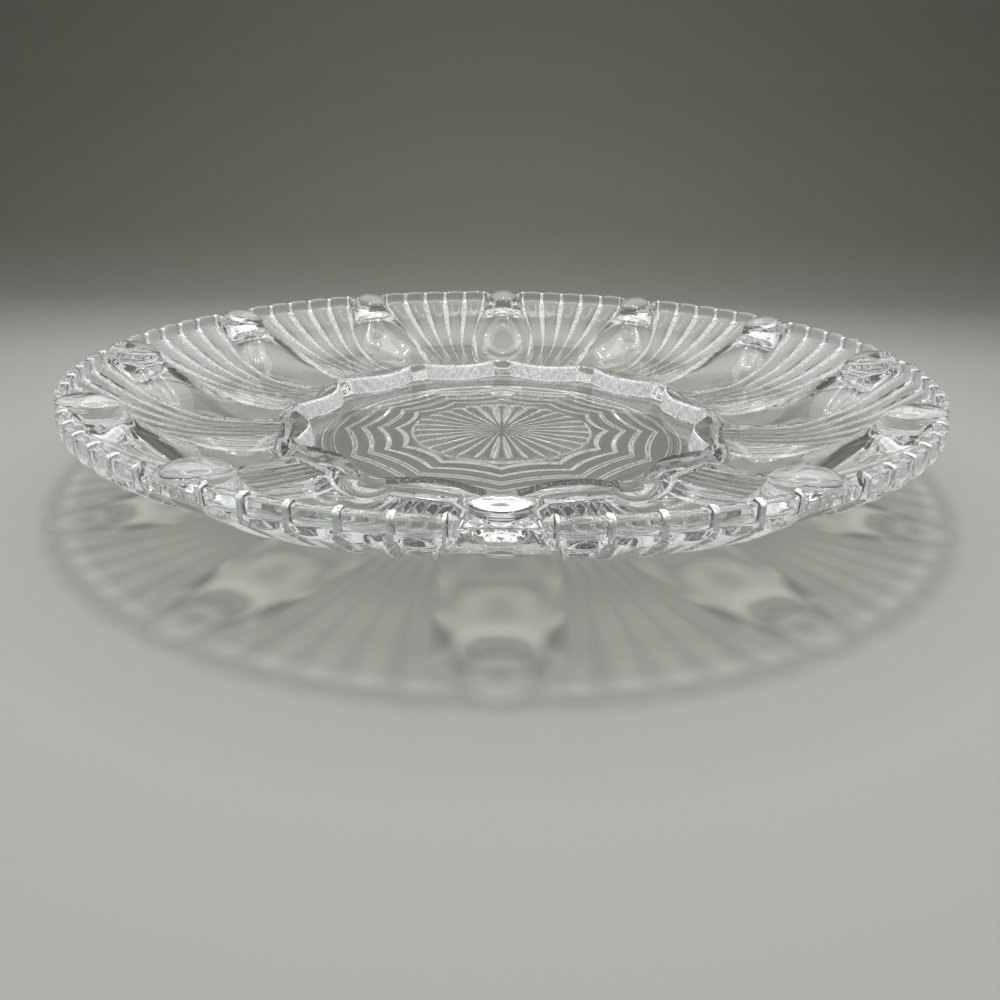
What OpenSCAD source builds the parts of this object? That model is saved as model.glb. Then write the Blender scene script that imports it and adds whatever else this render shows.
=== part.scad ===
// Pressed-glass deviled egg platter: twelve egg wells under rim pearls,
// twelve fluted fans between them, a scalloped centre well and a foot ring.
// Millimetres, +Z up. The origin is the centre of the foot's resting face.
// The first pearl and egg well lie on +X, and the others follow anticlockwise.

/* [Rim] */
// Radius of the rim where two flutes meet
rim_r = 126.8; // [118:0.2:136]
// Height of the rim over the table
rim_h = 32; // [29:0.2:36]
// Height of the upright band round the rim
band_h = 4.2; // [3:0.2:5]
// How far each scallop of the rim stands out
scallop_out = 0.9; // [0.3:0.1:1.5]
// How far each scallop of the rim rises
scallop_rise = 1; // [0.3:0.1:1.5]
// Width of the rounded rim edge
edge_w = 2.6; // [2:0.1:3.5]

/* [Pearls] */
// Radius of each pearl
pearl_r = 6.8; // [5.5:0.1:7]
// Depth of the pearl seats below the rim
pearl_drop = 2.5; // [1.5:0.1:3.5]
// Upright part of a pearl, under its dome
pearl_girdle = 1.2; // [0.6:0.1:2]
// Height of a pearl's dome
pearl_dome = 3.3; // [2:0.1:4.5]
// Width of the step from a pearl seat down to the well
seat_step = 1; // [0.6:0.1:1.5]

/* [Egg wells] */
// Depth of an egg well below the fans beside it
well_depth = 5.3; // [4:0.1:5.8]
// How far an egg well bulges below the fans
well_bulge = 3.8; // [3:0.1:4.2]
// Half angle of an egg well at the rim
well_rim_angle = 4.15; // [3.9:0.05:4.5]
// Half angle of an egg well at its widest
well_angle = 8.8; // [8:0.1:9.6]

/* [Fluted fans] */
// Number of flutes in each fan
flutes = 5; // [3:1:7]
// Depth of a flute against its width
flute_share = 0.18; // [0.08:0.01:0.24]

/* [Centre well] */
// Radius where the wells and fans meet the centre wall
ring_r = 72; // [70:0.2:75]
// Height of the fans at the centre wall
ring_h = 11.7; // [11:0.1:13]
// Underside of the glass where the wells meet the centre wall
ring_under_h = 5; // [4:0.1:6]
// Width of the wall at its nubs
wall_w = 4.2; // [3.5:0.1:5.5]
// How far the wall bows inwards between two nubs
wall_bow = 6; // [4:0.1:6.5]
// Height of the wall's crest
crest_h = 12.4; // [12:0.1:14]
// Rounding on the inner side of the crest
crest_round = 1.2; // [0.6:0.1:1.6]
// Lean of the wall's inner face
wall_lean = 0.6; // [0.2:0.1:1]
// Half angle of each nub
nub_angle = 3; // [2:0.1:3.4]
// Height of the floor over the table
floor_h = 5.9; // [5:0.1:6.6]
// Underside of the outermost floor
under_h = 2; // [1.4:0.1:2.4]
// Rise of the underside at each scalloped step
step_rise = 0.4; // [0.2:0.05:0.6]

/* [Floor pattern] */
// Width of the plain floor from the wall's nubs to the outermost step
plain_w = 15.4; // [14.4:0.1:16.6]
// Width of the outermost scalloped step at its cusps
outer_step_w = 5.4; // [4.6:0.1:6.2]
// Width of the middle scalloped step at its cusps
middle_step_w = 5.6; // [4.8:0.1:6.4]
// Width of the innermost scalloped step at its cusps
inner_step_w = 5.8; // [5:0.1:6.6]
// Width of the medallion's border at its cusps
border_w = 5.2; // [5:0.1:7]
// How far the arcs of the steps bow inwards
step_bow = 3.2; // [2:0.1:3.4]
// Number of rays in the sunburst
rays = 30; // [24:6:36]
// Depth of the sunburst's rays
ray_depth = 0.9; // [0.4:0.1:1.2]

/* [Foot] */
// Distance from the wall's nubs in to the middle of the foot ring
foot_inset = 10.3; // [9.8:0.1:11.6]
// Width of the foot ring's resting face
foot_w = 2; // [1.4:0.1:2.4]
// Slope on each side of the foot ring
foot_flare = 0.7; // [0.3:0.1:1]

/* [Hidden] */
count = 12;
pitch = 360 / count;
glass = [0.88, 0.92, 0.91, 0.55];

// Shares of the radial span from the ring to the rim, with the matching
// shares of the rise, chosen by hand along the plate's section
top_shares = [
    [0, 0], [0.1, 0.002], [0.218, 0.015], [0.327, 0.049], [0.436, 0.108],
    [0.545, 0.207], [0.655, 0.35], [0.764, 0.527], [0.873, 0.79],
    [0.945, 0.96], [1, 1]
];
under_shares = [
    [0, 0], [0.109, 0.044], [0.218, 0.083], [0.327, 0.132], [0.436, 0.193],
    [0.545, 0.29], [0.655, 0.417], [0.764, 0.561], [0.873, 0.72],
    [0.945, 0.87], [1, 1]
];
depth_shares = [
    [0, 0], [0.03, 0.25], [0.073, 0.65], [0.14, 0.95], [0.218, 1],
    [0.327, 0.88], [0.436, 0.71], [0.545, 0.55], [0.655, 0.4],
    [0.764, 0.26], [1, 0]
];
bulge_shares = [
    [0, 0], [0.03, 0.2], [0.073, 0.55], [0.14, 0.87], [0.243, 1],
    [0.352, 0.87], [0.485, 0.55], [0.62, 0.32], [0.735, 0.16], [0.87, 0.05],
    [1, 0]
];
// Shares of a well's greatest widening over its width at the rim
widen_shares = [
    [0, 1], [0.2, 1], [0.327, 0.96], [0.436, 0.87], [0.545, 0.74],
    [0.655, 0.57], [0.764, 0.38], [0.873, 0.18], [1, 0]
];
// Shares of the slope between the ring and the pearl seats, one a row
slope_row_shares = [0, 0.04, 0.1, 0.19, 0.33, 0.48, 0.66, 0.84, 1];
// Places across half a well, across one flute, and along half a bow
well_column_shares = [-1, -0.75, -0.4, 0, 0.4, 0.75, 1];
seat_share = 0.8;
flute_column_shares = [0, 0.2, 0.5, 0.8];
flute_height_shares = [0, 0.86, 1, 0.86];
bow_steps = 6;
// Angles along half a bow of the wall as shares, with shares of the bow
bow_shares = [[0, 0], [0.05, 0.2], [0.48, 0.72], [0.75, 0.93], [1, 1]];
dome_steps = 8;

// Radii from the ring inwards, each from the one outside it
wall_r = ring_r - wall_w;
foot_r = wall_r - foot_inset;
step_3_r = wall_r - plain_w;
step_2_r = step_3_r - outer_step_w;
step_1_r = step_2_r - middle_step_w;
medallion_r = step_1_r - inner_step_w;
sunburst_r = medallion_r - border_w;

pearl_seat_h = rim_h - pearl_drop;
pearl_c_r = rim_r - pearl_r;
seat_in_r = pearl_c_r - pearl_r;
slope_end_r = seat_in_r - seat_step;
rows = concat(
    [for (s = slope_row_shares) ring_r + s * (slope_end_r - ring_r)],
    [seat_in_r, pearl_c_r, rim_r - edge_w, rim_r]
);
last_row = len(rows) - 1;
last_slope_row = len(slope_row_shares) - 1;

// Share of the way from the ring to the rim
function along(r) = (r - ring_r) / (rim_r - ring_r);
function at(r, angle, z) = [r * cos(angle), r * sin(angle), z];
function fan_top(r) = ring_h + (rim_h - ring_h) * lookup(along(r), top_shares);
function fan_under(r) =
    ring_under_h + (rim_h - band_h - ring_under_h) * lookup(along(r), under_shares);
function well_half(r) =
    well_rim_angle + (well_angle - well_rim_angle) * lookup(along(r), widen_shares);
function bowl(c) = 1 - c * c;
function well_top(r, c) = fan_top(r) - well_depth * lookup(along(r), depth_shares) * bowl(c);
function well_under(r, c) = fan_under(r) - well_bulge * lookup(along(r), bulge_shares) * bowl(c);
// Radius on the straight line between two corners that lie half_angle to each side
function chord(r, angle, half_angle) = r * cos(half_angle) / cos(angle);

// Index lists for a slab whose rows run outwards and whose columns run anticlockwise.
// The underside has split columns for each column on top.
function slab_faces(m, n, split) = let (
    nb = n * split,
    low = (m + 1) * (n + 1),
    middle = ceil(split / 2)
) concat(
    [for (i = [0 : m - 1], j = [0 : n - 1]) let (a = i * (n + 1) + j, b = a + n + 1)
        each [[a, a + 1, b + 1], [a, b + 1, b]]],
    [for (i = [0 : m - 1], j = [0 : nb - 1]) let (a = low + i * (nb + 1) + j, b = a + nb + 1)
        each [[a, b, b + 1], [a, b + 1, a + 1]]],
    [for (i = [0 : m - 1]) let (
        a = i * (n + 1), b = a + n + 1,
        c = low + i * (nb + 1), d = c + nb + 1)
        each [[a, b, d], [a, d, c], [b + n, a + n, c + nb], [b + n, c + nb, d + nb]]],
    [for (j = [0 : n - 1]) let (c = low + j * split + middle)
        each [[j + 1, j, c],
              [m * (n + 1) + j, m * (n + 1) + j + 1, c + m * (nb + 1)]]],
    [for (j = [0 : nb - 1]) let (
        c = low + j,
        d = c + m * (nb + 1),
        k = floor(j / split) + (j % split < middle ? 0 : 1))
        each [[c, c + 1, k], [d + 1, d, m * (n + 1) + k]]]
);

// Index lists for a closed ring of columns, each with the same upright loop of points
function ring_faces(columns, points) = [
    for (c = [0 : columns - 1], p = [0 : points - 1]) let (
        d = (c + 1) % columns,
        q = (p + 1) % points)
        each [[c * points + p, c * points + q, d * points + q],
              [c * points + p, d * points + q, d * points + p]]
];

// One egg well, with the flat seat for its pearl at the rim
function well_z(i, c) =
    i <= last_slope_row ? well_top(rows[i], c)
    : abs(c) < seat_share ? pearl_seat_h
    : fan_top(rows[i]);
function well_r(i, c) =
    i == 0 ? chord(rows[0], c * well_half(rows[0]), well_half(rows[0])) : rows[i];
module egg_well(k) {
    top = [for (i = [0 : last_row], c = well_column_shares)
        at(well_r(i, c), k * pitch + c * well_half(rows[i]), well_z(i, c))];
    under = [for (i = [0 : last_row], c = well_column_shares)
        at(well_r(i, c), k * pitch + c * well_half(rows[i]), well_under(rows[i], c))];
    color(glass)
        polyhedron(concat(top, under), slab_faces(last_row, len(well_column_shares) - 1, 1));
}

// One fan: smooth above, with flutes that bulge below and scallop the rim
function fan_half(r) = pitch / 2 - well_half(r);
function fan_r(i, angle, lobe) =
    i == 0 ? chord(rows[0], angle, fan_half(rows[0]))
    : i == last_row ? rows[i] + scallop_out * lobe
    : rows[i];
function flute_w(r) = 2 * fan_half(r) / flutes;
function flute_depth(r) = flute_share * r * sin(flute_w(r));
function fan_rise(i) = i == last_row ? scallop_rise : 0;
module fluted_fan(k) {
    middle = (k + 0.5) * pitch;
    under_places = concat(
        [for (f = [0 : flutes - 1], q = [0 : 3])
            [f + flute_column_shares[q], flute_height_shares[q]]],
        [[flutes, 0]]
    );
    top_places = [for (q = [0 : 2 : 4 * flutes]) under_places[q]];
    top = [for (i = [0 : last_row], p = top_places)
        let (angle = p[0] * flute_w(rows[i]) - fan_half(rows[i]))
        at(fan_r(i, angle, p[1]), middle + angle, fan_top(rows[i]) + fan_rise(i) * p[1])];
    under = [for (i = [0 : last_row], p = under_places)
        let (angle = p[0] * flute_w(rows[i]) - fan_half(rows[i]))
        at(fan_r(i, angle, p[1]), middle + angle, fan_under(rows[i]) - flute_depth(rows[i]) * p[1])];
    color(glass)
        polyhedron(concat(top, under), slab_faces(last_row, 2 * flutes, 2));
}

// One pearl: a low dome on an upright girdle
module rim_pearl(k) {
    ball_r = (pearl_r * pearl_r + pearl_dome * pearl_dome) / (2 * pearl_dome);
    half = asin(pearl_r / ball_r);
    dome = [for (q = [0 : dome_steps - 1]) let (a = half * (1 - q / dome_steps))
        [ball_r * sin(a), pearl_girdle + pearl_dome - ball_r * (1 - cos(a))]];
    color(glass)
        rotate([0, 0, k * pitch])
        translate([pearl_c_r, 0, pearl_seat_h])
        rotate_extrude($fn = 64)
        polygon(concat([[0, 0], [pearl_r, 0]], dome, [[0, pearl_girdle + pearl_dome]]));
}

// Angles, from one nub to the next, at which the wall has its corners
half_pitch = pitch / 2;
nub_side = nub_angle + (half_pitch - nub_angle) * bow_shares[1][0];
bow_angles = [
    0, nub_angle, nub_side, well_angle, (well_angle + half_pitch) / 2, half_pitch
];
wall_angles = [for (k = [0 : count - 1]) each concat(
    [for (a = bow_angles) k * pitch + a],
    [for (q = [len(bow_angles) - 2 : -1 : 1]) (k + 1) * pitch - bow_angles[q]]
)];
function from_nub(angle) = let (a = angle % pitch) min(a, pitch - a);
function wall_in_r(angle) = let (a = from_nub(angle))
    a <= nub_angle ? wall_r
    : wall_r - wall_bow * lookup((a - nub_angle) / (half_pitch - nub_angle), bow_shares);
function wall_out_r(angle) = let (a = from_nub(angle))
    a <= well_angle ? chord(ring_r, a, well_angle)
    : chord(ring_r, half_pitch - a, half_pitch - well_angle);

// The wall between the wells and the centre: a rounded crest with twelve nubs
module centre_wall() {
    loops = [for (a = wall_angles) let (
        r_in = wall_in_r(a),
        r_out = wall_out_r(a),
        r_mid = (r_in + r_out) / 2)
        each [
            at(r_out, a, ring_under_h),
            at(r_out, a, ring_h),
            at(r_mid, a, crest_h),
            at(r_in + wall_lean + crest_round, a, crest_h),
            at(r_in + wall_lean, a, crest_h - crest_round),
            at(r_in, a, floor_h),
            at(r_in, a, under_h),
            at(r_mid, a, under_h)
        ]];
    color(glass)
        polyhedron(loops, ring_faces(len(wall_angles), 8));
}

// Outline of a step: arcs bowed inwards between cusps that point at the wells
function scallop(cusp_r) = [
    for (k = [0 : count - 1], q = [0 : bow_steps - 1]) let (
        t = q / bow_steps,
        a = cusp_r * [cos(k * pitch), sin(k * pitch)],
        b = cusp_r * [cos((k + 1) * pitch), sin((k + 1) * pitch)],
        middle = (cusp_r * (2 - cos(half_pitch)) - 2 * step_bow)
            * [cos((k + 0.5) * pitch), sin((k + 0.5) * pitch)])
        (1 - t) * (1 - t) * a + 2 * t * (1 - t) * middle + t * t * b
];
wall_outline = [for (a = wall_angles) wall_in_r(a) * [cos(a), sin(a)]];
sunburst_outline = [for (q = [0 : 2 * rays - 1])
    sunburst_r * [cos(q * 180 / rays), sin(q * 180 / rays)]];

// A flat ring of floor between two outlines
module floor_ring(outer, inner, low_h) {
    color(glass)
        translate([0, 0, low_h])
        linear_extrude(floor_h - low_h)
        difference() {
            polygon(outer);
            polygon(inner);
        }
}
module floor_step_outer() {
    floor_ring(wall_outline, scallop(step_3_r), under_h);
}
module floor_step_middle() {
    floor_ring(scallop(step_3_r), scallop(step_2_r), under_h + step_rise);
}
module floor_step_inner() {
    floor_ring(scallop(step_2_r), scallop(step_1_r), under_h + 2 * step_rise);
}
module medallion_border() {
    floor_ring(scallop(step_1_r), scallop(medallion_r), under_h + step_rise);
    floor_ring(scallop(medallion_r), sunburst_outline, under_h + 2 * step_rise);
}

// The medallion: a disc whose underside is a sunburst of ridged rays
module sunburst_medallion() {
    n = 2 * rays;
    groove_h = under_h + 2 * step_rise;
    top = [for (p = sunburst_outline) [p[0], p[1], floor_h]];
    under = [for (q = [0 : n - 1]) let (p = sunburst_outline[q])
        [p[0], p[1], q % 2 == 0 ? groove_h - ray_depth : groove_h]];
    color(glass)
        polyhedron(
            concat(top, under, [[0, 0, floor_h], [0, 0, groove_h]]),
            [for (q = [0 : n - 1]) let (s = (q + 1) % n)
                each [[2 * n, s, q], [2 * n + 1, n + q, n + s], [q, s, n + s], [q, n + s, n + q]]]
        );
}

// The foot: a low ring under the floor
module foot_ring() {
    wide = foot_w / 2 + foot_flare;
    color(glass)
        rotate_extrude($fn = 180)
        polygon([
            [foot_r - foot_w / 2, 0], [foot_r + foot_w / 2, 0],
            [foot_r + wide, under_h], [foot_r - wide, under_h]
        ]);
}

sunburst_medallion();
medallion_border();
floor_step_inner();
floor_step_middle();
floor_step_outer();
foot_ring();
centre_wall();
egg_well(0);  // egg_well_01
egg_well(1);  // egg_well_02
egg_well(2);  // egg_well_03
egg_well(3);  // egg_well_04
egg_well(4);  // egg_well_05
egg_well(5);  // egg_well_06
egg_well(6);  // egg_well_07
egg_well(7);  // egg_well_08
egg_well(8);  // egg_well_09
egg_well(9);  // egg_well_10
egg_well(10);  // egg_well_11
egg_well(11);  // egg_well_12
fluted_fan(0);  // fluted_fan_01
fluted_fan(1);  // fluted_fan_02
fluted_fan(2);  // fluted_fan_03
fluted_fan(3);  // fluted_fan_04
fluted_fan(4);  // fluted_fan_05
fluted_fan(5);  // fluted_fan_06
fluted_fan(6);  // fluted_fan_07
fluted_fan(7);  // fluted_fan_08
fluted_fan(8);  // fluted_fan_09
fluted_fan(9);  // fluted_fan_10
fluted_fan(10);  // fluted_fan_11
fluted_fan(11);  // fluted_fan_12
rim_pearl(0);  // rim_pearl_01
rim_pearl(1);  // rim_pearl_02
rim_pearl(2);  // rim_pearl_03
rim_pearl(3);  // rim_pearl_04
rim_pearl(4);  // rim_pearl_05
rim_pearl(5);  // rim_pearl_06
rim_pearl(6);  // rim_pearl_07
rim_pearl(7);  // rim_pearl_08
rim_pearl(8);  // rim_pearl_09
rim_pearl(9);  // rim_pearl_10
rim_pearl(10);  // rim_pearl_11
rim_pearl(11);  // rim_pearl_12
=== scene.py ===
import math

import bpy
import numpy as np
from mathutils import Matrix


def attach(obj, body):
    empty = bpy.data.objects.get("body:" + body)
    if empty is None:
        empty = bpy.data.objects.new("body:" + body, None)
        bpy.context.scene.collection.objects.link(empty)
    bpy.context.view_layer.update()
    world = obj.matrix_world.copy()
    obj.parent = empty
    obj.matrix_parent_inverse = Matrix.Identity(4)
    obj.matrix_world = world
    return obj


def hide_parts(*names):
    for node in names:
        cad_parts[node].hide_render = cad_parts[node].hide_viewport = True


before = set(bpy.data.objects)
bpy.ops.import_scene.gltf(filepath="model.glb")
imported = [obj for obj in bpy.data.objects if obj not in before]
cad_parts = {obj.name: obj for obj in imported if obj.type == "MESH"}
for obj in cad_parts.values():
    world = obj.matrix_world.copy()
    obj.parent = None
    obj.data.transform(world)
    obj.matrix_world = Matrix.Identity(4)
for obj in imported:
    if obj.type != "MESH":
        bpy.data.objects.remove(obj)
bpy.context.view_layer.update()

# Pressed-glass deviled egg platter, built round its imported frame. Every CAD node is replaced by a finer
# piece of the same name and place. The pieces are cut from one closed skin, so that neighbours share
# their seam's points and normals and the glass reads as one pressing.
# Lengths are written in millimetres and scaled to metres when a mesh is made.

MM = 0.001
COUNT = 12
PITCH = 30.0
HALF_PITCH = PITCH / 2

# Main sizes, most of them as in the part's source
RIM_R, RIM_H, BAND_H = 126.8, 32.0, 4.2
SCALLOP_OUT, SCALLOP_RISE = 0.7, 0.45
RING_R, RING_H, RING_UNDER_H = 72.0, 11.7, 5.0
WELL_DEPTH, WELL_BULGE = 5.3, 3.8
WELL_RIM_ANGLE, WELL_ANGLE = 4.15, 8.8
FLUTES, FLUTE_SHARE = 5, 0.18
WALL_R, WALL_BOW, WALL_LEAN, CREST_H, CREST_ROUND = 67.8, 6.0, 0.6, 12.4, 1.2
NUB_ANGLE = 3.0
FLOOR_H, UNDER_H, STEP_RISE = 5.9, 2.0, 0.75
STEP_R = {"step_3": 52.4, "step_2": 47.0, "step_1": 41.4, "medallion": 35.6}
STEP_BOW, SUNBURST_R, RAYS, RAY_DEPTH = 3.2, 30.4, 30, 0.9
FOOT_R, FOOT_W, FOOT_FLARE = 57.5, 2.0, 0.7

# The plate's section, as shares of the way from the ring to the rim and of the rise
TOP_SHARES = [
    (0, 0), (0.1, 0.002), (0.218, 0.015), (0.327, 0.049), (0.436, 0.108), (0.545, 0.207),
    (0.655, 0.35), (0.764, 0.527), (0.873, 0.79), (0.945, 0.96), (1, 1)]
UNDER_SHARES = [
    (0, 0), (0.109, 0.044), (0.218, 0.083), (0.327, 0.132), (0.436, 0.193), (0.545, 0.29),
    (0.655, 0.417), (0.764, 0.561), (0.873, 0.72), (0.945, 0.87), (1, 1)]
DEPTH_SHARES = [
    (0, 0), (0.03, 0.25), (0.073, 0.65), (0.14, 0.95), (0.218, 1), (0.327, 0.88),
    (0.436, 0.71), (0.545, 0.55), (0.655, 0.4), (0.764, 0.26), (1, 0)]
BULGE_SHARES = [
    (0, 0), (0.03, 0.2), (0.073, 0.55), (0.14, 0.87), (0.243, 1), (0.352, 0.87),
    (0.485, 0.55), (0.62, 0.32), (0.735, 0.16), (0.87, 0.05), (1, 0)]
WIDEN_SHARES = [
    (0, 1), (0.2, 1), (0.327, 0.96), (0.436, 0.87), (0.545, 0.74), (0.655, 0.57),
    (0.764, 0.38), (0.873, 0.18), (1, 0)]
BOW_SHARES = [(0, 0), (0.05, 0.2), (0.48, 0.72), (0.75, 0.93), (1, 1)]
BROAD_BLUR, BOW_BLUR, FINE_BLUR = 0.03, 0.02, 0.014
EASE_STEP, EASE_PAST, BLUR_REACH = 0.001, 0.5, 3


def eased(table, blur):
    """The table as a smooth function: straight lines between its points, softened over blur."""
    px, py = np.array(table, float).T
    xs = np.arange(-EASE_PAST, 1 + EASE_PAST + EASE_STEP, EASE_STEP)
    ys = np.interp(xs, px, py)
    low, high = xs < px[0], xs > px[-1]
    ys[low] += (xs[low] - px[0]) * (py[1] - py[0]) / (px[1] - px[0])
    ys[high] += (xs[high] - px[-1]) * (py[-1] - py[-2]) / (px[-1] - px[-2])
    reach = int(BLUR_REACH * blur / EASE_STEP)
    kernel = np.exp(-0.5 * (np.arange(-reach, reach + 1) * EASE_STEP / blur) ** 2)
    ys = np.convolve(np.pad(ys, reach, mode="edge"), kernel / kernel.sum(), mode="valid")
    return lambda x: np.interp(x, xs, ys)


def smoothstep(x):
    x = np.clip(x, 0, 1)
    return x * x * (3 - 2 * x)


top_share = eased(TOP_SHARES, BROAD_BLUR)
under_share = eased(UNDER_SHARES, BROAD_BLUR)
depth_share = eased(DEPTH_SHARES, FINE_BLUR)
bulge_share = eased(BULGE_SHARES, FINE_BLUR)
widen_share = eased(WIDEN_SHARES, BROAD_BLUR)
bow_share = eased(BOW_SHARES, BOW_BLUR)

TOP_EASE = 0.83
GROOVE_IN, GROOVE_GAIN, GROOVE_GAIN_R, GROOVE_GAIN_OVER = 0.03, 0.11, 80.0, 42.0


def along(r):
    """Share of the way from the ring to the rim."""
    return (np.asarray(r, float) - RING_R) / (RIM_R - RING_R)


def fan_top(r):
    """The slope's height, eased so that it ends below the lip."""
    return RING_H + TOP_EASE * (RIM_H - RING_H) * top_share(along(r))


def fan_under(r):
    return RING_UNDER_H + (RIM_H - BAND_H - RING_UNDER_H) * under_share(along(r))


def well_half(r):
    """Half angle of a well."""
    share = widen_share(np.clip(along(r), 0, 1))
    return WELL_RIM_ANGLE + (WELL_ANGLE - WELL_RIM_ANGLE) * np.clip(share, 0, 1)


def groove_half(r):
    """Half width of a groove between two flutes, as a share of a flute: wide at the rim, thin inside."""
    return GROOVE_IN + GROOVE_GAIN * smoothstep((r - GROOVE_GAIN_R) / GROOVE_GAIN_OVER)


# Columns of the skin: across each well, then across each fan's flutes, all round the plate
WELL_STEPS, FLUTE_STEPS, GROOVE_STEPS = 36, 14, 3
IN_GROOVE = np.array([0, 0.5, 0.75, 1])
WELL_EASE = 0.35
across_well = np.linspace(-1, 1, WELL_STEPS + 1)
across_well = (1 - WELL_EASE) * across_well + WELL_EASE * np.sin(across_well * math.pi / 2)
fan_steps = np.arange(1, FLUTES * FLUTE_STEPS)
SECTOR = WELL_STEPS + FLUTES * FLUTE_STEPS
COLS = COUNT * SECTOR
col_sector = np.repeat(np.arange(COUNT), SECTOR)
in_well = np.tile(np.arange(SECTOR) <= WELL_STEPS, COUNT)
col_c = np.tile(np.concatenate([across_well, np.ones(len(fan_steps))]), COUNT)
col_step = np.tile(np.concatenate([np.zeros(WELL_STEPS + 1, int), fan_steps]), COUNT)
col_flute, step_in = col_step // FLUTE_STEPS, col_step % FLUTE_STEPS
step_near = np.minimum(step_in, FLUTE_STEPS - step_in)


def from_groove(r):
    """Each column's distance from the middle of its groove, as a share of a flute."""
    half = groove_half(r)
    outside = half + (0.5 - half) * (step_near - GROOVE_STEPS) / (FLUTE_STEPS / 2 - GROOVE_STEPS)
    inside = half * IN_GROOVE[np.minimum(step_near, GROOVE_STEPS)]
    return np.where(in_well, 1.0, np.where(step_near <= GROOVE_STEPS, inside, outside))


def angles(r):
    """Each column's azimuth, in degrees, at that radius."""
    half = well_half(r)
    near = from_groove(r)
    place_in = col_flute + np.where(step_in * 2 <= FLUTE_STEPS, near, 1 - near)
    in_fan = HALF_PITCH + (2 * place_in / FLUTES - 1) * (HALF_PITCH - half)
    return col_sector * PITCH + np.where(in_well, col_c * half, in_fan)


def lobe(r):
    """Round swelling of each flute: none at its grooves, full in its middle."""
    near = from_groove(r)
    return np.where(in_well, 0.0, 4 * near * (1 - near))


BOWL = np.where(in_well, 1 - col_c ** 2, 0.0)
BOX = 1 - col_c ** 4
LIFT, LIFT_R, LIFT_END_R, UNDER_LIFT_SHARE = 8.3, 88.0, 111.0, 0.78
FADE_R, TOP_FADE, UNDER_FADE = 112.0, 6.0, 10.0
SEAM_H, SEAM_W, SEAM_R, SEAM_GROW = 0.12, 0.35, 100.0, 8.0
RIM_DIP, RIM_DIP_R, RIM_DIP_GROW = 0.25, 116.0, 8.0
JOINT_DIP, BEAD_RECESS = 0.3, 0.3
GROOVE_SHARE, GROOVE_FLAT = 0.45, 0.5


def well_lift(r, fade):
    """How far the wells climb towards their pearls, above the fans beside them, and die away under them."""
    rise = smoothstep((r - LIFT_R) / (LIFT_END_R - LIFT_R))
    return LIFT * rise * BOWL * (1 - smoothstep((r - FADE_R) / fade))


def well_top(r):
    """Height of the smooth upper surface at each column."""
    base = fan_top(r) - WELL_DEPTH * depth_share(along(r)) * BOWL
    offset = col_c * np.radians(well_half(r)) * r
    seam = SEAM_H * np.exp(-(offset / SEAM_W) ** 2) * smoothstep((r - SEAM_R) / SEAM_GROW)
    dip = RIM_DIP * smoothstep((r - RIM_DIP_R) / RIM_DIP_GROW) * BOX
    return base + np.where(in_well, well_lift(r, TOP_FADE) + seam - dip, 0.0)


def flute_depth(r):
    width = r * np.radians(2 * (HALF_PITCH - well_half(r)) / FLUTES)
    return FLUTE_SHARE * width


def flute(r):
    """How far each column's flute stands out, as a share of its depth."""
    groove = smoothstep((from_groove(r) / groove_half(r) - GROOVE_FLAT) / (1 - GROOVE_FLAT))
    return np.where(in_well, 0.0, (1 - GROOVE_SHARE) * lobe(r) + GROOVE_SHARE * groove)


def well_under(r):
    """Height of the underside, with its flutes, at each column."""
    base = fan_under(r) - WELL_BULGE * bulge_share(along(r)) * BOWL
    lift = np.where(in_well, UNDER_LIFT_SHARE * well_lift(r, UNDER_FADE), 0.0)
    return base + lift - flute_depth(r) * flute(r)


# The skin's rows, in order: top from the centre out, round the rim, underside back to the centre
rows, tags = [], {}


def place(r, z, nominal=None):
    """One row of points, at radius r and height z, on the columns' azimuths for the nominal radius."""
    a = np.radians(angles(r if nominal is None else nominal))
    r = np.broadcast_to(np.asarray(r, float), (COLS,))
    z = np.broadcast_to(np.asarray(z, float), (COLS,))
    return np.stack([r * np.cos(a), r * np.sin(a), z], 1)


def add(r, z, nominal=None, tag=None):
    rows.append(place(r, z, nominal))
    if tag:
        tags[tag] = len(rows) - 1


flat = angles(RING_R)
from_nub = np.minimum(flat % PITCH, PITCH - flat % PITCH)
wall_in = WALL_R - WALL_BOW * np.clip(
    bow_share(np.clip((from_nub - NUB_ANGLE) / (HALF_PITCH - NUB_ANGLE), 0, 1)), 0, 1)
ARC_POINTS = 61


def bend(a, b, c, t):
    """A point on the arc that leaves a and reaches c, pulled towards b."""
    return (1 - t) ** 2 * a + 2 * t * (1 - t) * b + t * t * c


def polar(r, degrees):
    return r * np.array([[math.cos(math.radians(degrees)), math.sin(math.radians(degrees))]])


def scallop(cusp_r):
    """Radius, at each column, of twelve arcs bowed inwards between cusps that point at the wells."""
    t = np.linspace(0, 1, ARC_POINTS)[:, None]
    reach = cusp_r * (2 - math.cos(math.radians(HALF_PITCH))) - 2 * STEP_BOW
    p = bend(polar(cusp_r, 0), polar(reach, HALF_PITCH), polar(cusp_r, PITCH), t)
    return np.interp(flat % PITCH, np.degrees(np.arctan2(p[:, 1], p[:, 0])), np.hypot(p[:, 0], p[:, 1]))


step_r = {name: scallop(r) for name, r in STEP_R.items()}
FOOT_FILLET = 0.8
wall_foot = wall_in - FOOT_FILLET
INNER_R = 8.0
FLOOR_ROW_R = (14, 20, 26)

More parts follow.
